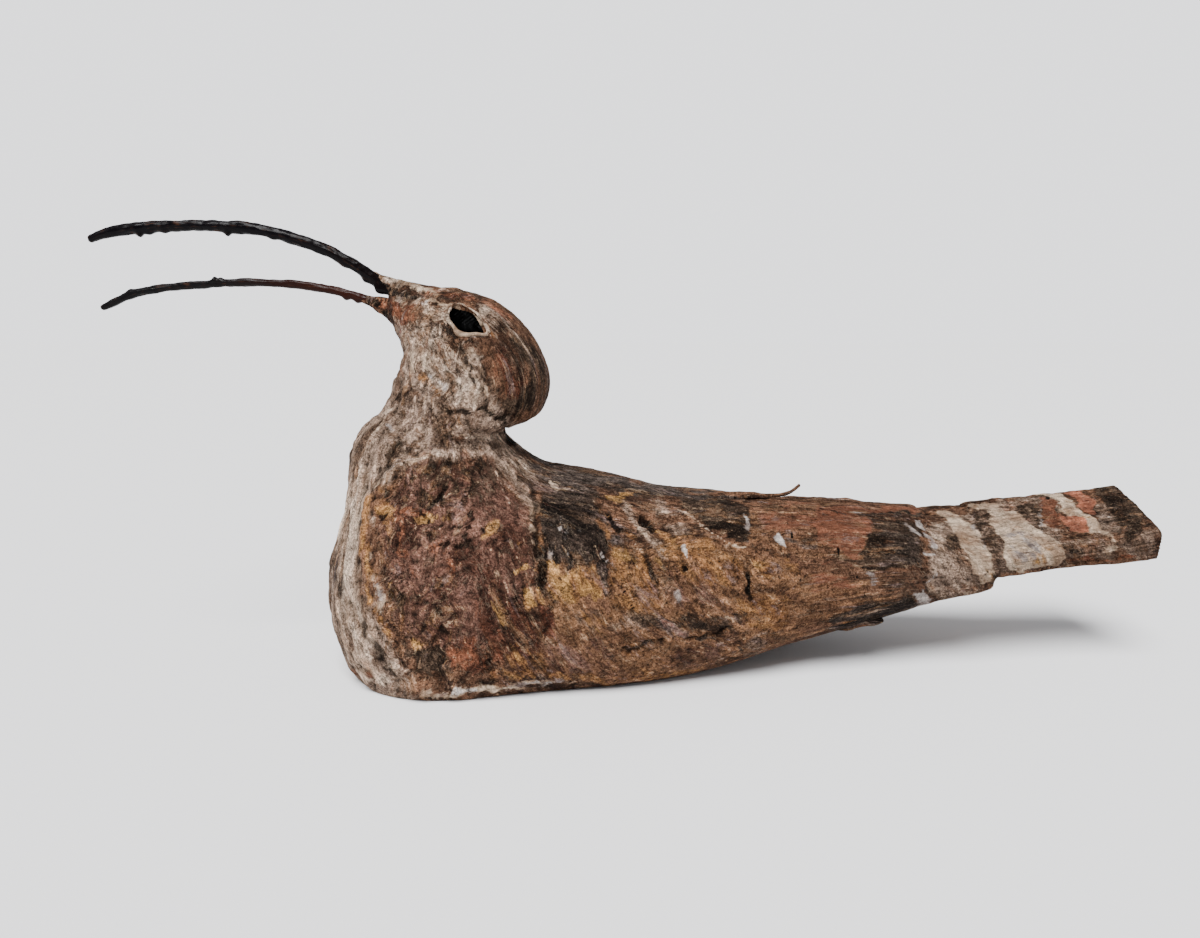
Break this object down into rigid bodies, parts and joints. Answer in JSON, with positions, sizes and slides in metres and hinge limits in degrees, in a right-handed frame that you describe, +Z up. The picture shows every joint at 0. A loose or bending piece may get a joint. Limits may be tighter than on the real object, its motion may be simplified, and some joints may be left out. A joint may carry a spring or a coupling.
{
  "type": "shorebird decoy",
  "caption": "Resting curlew figure of weathered wood and filler with a flat underside, a plank-like tail and a long curved beak of twigs.",
  "frame": {"origin": "in the flat of the underside, in the bird's median plane, below the middle of its body", "axes": "+Z up, +X along the length from the beak towards the tail, so the bird faces -X, and +Y across the bird"},
  "size_m": [0.5141, 0.1314, 0.2136],
  "materials": {
    "painted_wood": "matt, weathered paint in browns, ochre, black and cream over old wood and filler",
    "black_twig": "black, varnished, half gloss",
    "red_brown_twig": "black to dark red-brown, varnished, half gloss"
  },
  "bodies": {
    "root": {"body": "painted_wood", "upper_beak": "black_twig", "lower_beak": "red_brown_twig"}
  },
  "joints": []
}
